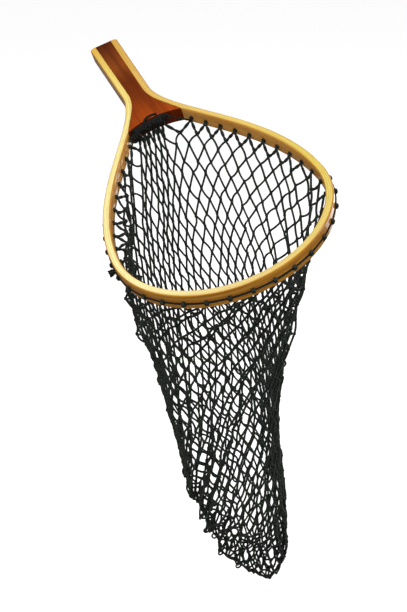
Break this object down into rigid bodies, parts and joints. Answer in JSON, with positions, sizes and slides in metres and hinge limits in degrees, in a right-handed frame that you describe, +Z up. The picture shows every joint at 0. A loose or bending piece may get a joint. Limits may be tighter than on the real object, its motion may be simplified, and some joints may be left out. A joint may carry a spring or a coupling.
{
  "type": "landing net",
  "caption": "Hand-held fishing landing net: laminated wooden hoop and handle with a deep knotted net bag laced to the hoop, hanging open below it and free to swing.",
  "frame": {"origin": "middle of the flat butt face of the handle, where the net is held", "axes": "+Z up; the handle and hoop run from the butt towards -Y, with the far end 12 degrees lower and the -X side rolled 20 degrees lower, as in the picture; the bag hangs along -Z"},
  "size_m": [0.245, 0.5704, 0.6602],
  "materials": {
    "pale_wood": "gloss varnish over pale straight-grained wood",
    "dark_wood": "satin varnish over dark red-brown hardwood",
    "cord": "twisted black cord",
    "netting": "knotted black twine"
  },
  "bodies": {
    "frame": {"handle_core": "dark_wood", "inner_ply": "pale_wood", "middle_ply": "pale_wood", "outer_ply": "pale_wood", "lacing_cord": "cord", "lacing_knot": "cord", "selvage_cord": "cord", "throat_lashing": "cord"},
    "net": {"net_bag_upper": "netting", "net_bag_middle": "netting", "net_bag_lower": "netting", "net_bag_toe": "netting", "tail_knot": "netting"}
  },
  "joints": [
    {"name": "bag_swing", "type": "hinge", "parent": "frame", "child": "net", "pos_m": [0.00506, -0.40003, -0.09925], "axis": [0.9397, -0.0711, 0.3345], "range_deg": [-12, 12], "deforming": ["selvage_cord"]}
  ]
}
